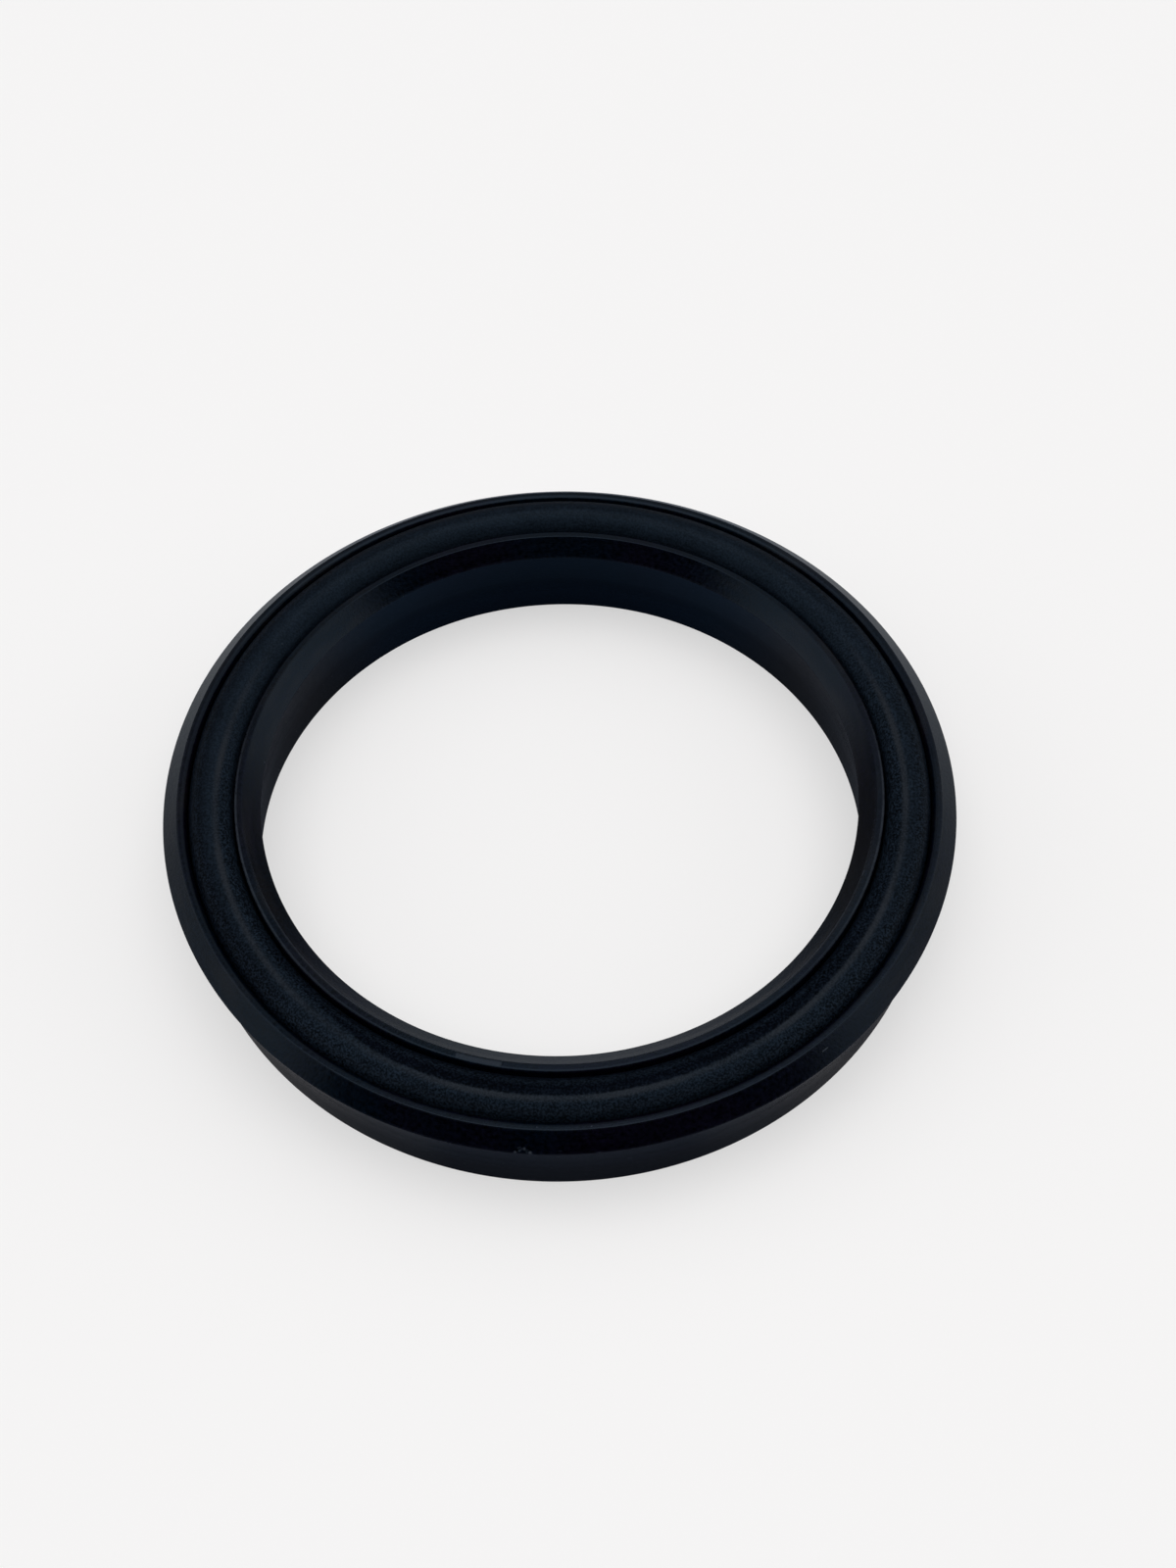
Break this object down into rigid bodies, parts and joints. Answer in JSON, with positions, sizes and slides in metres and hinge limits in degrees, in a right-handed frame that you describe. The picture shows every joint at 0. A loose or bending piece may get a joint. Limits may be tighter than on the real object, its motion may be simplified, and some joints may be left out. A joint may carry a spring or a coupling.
{
  "type": "hydraulic u-seal",
  "caption": "Annular lip seal with a flat heel, two flared lips with bevelled rims, and a round rubber ring that stands a little proud of the groove between the lips.",
  "frame": {"origin": "centre of the heel's flat back face, on the seal's axis", "axes": "+Z along the seal's axis, from the heel to the lips, which is the pressure side; X and Y are free, as the seal is round"},
  "size_m": [0.083, 0.083, 0.013],
  "materials": {
    "shell_rubber": "smooth satin black, moulded",
    "o_ring_rubber": "matte black with a fine mottled skin"
  },
  "bodies": {
    "root": {"u_cup_shell": "shell_rubber", "o_ring_energizer": "o_ring_rubber"}
  },
  "joints": []
}
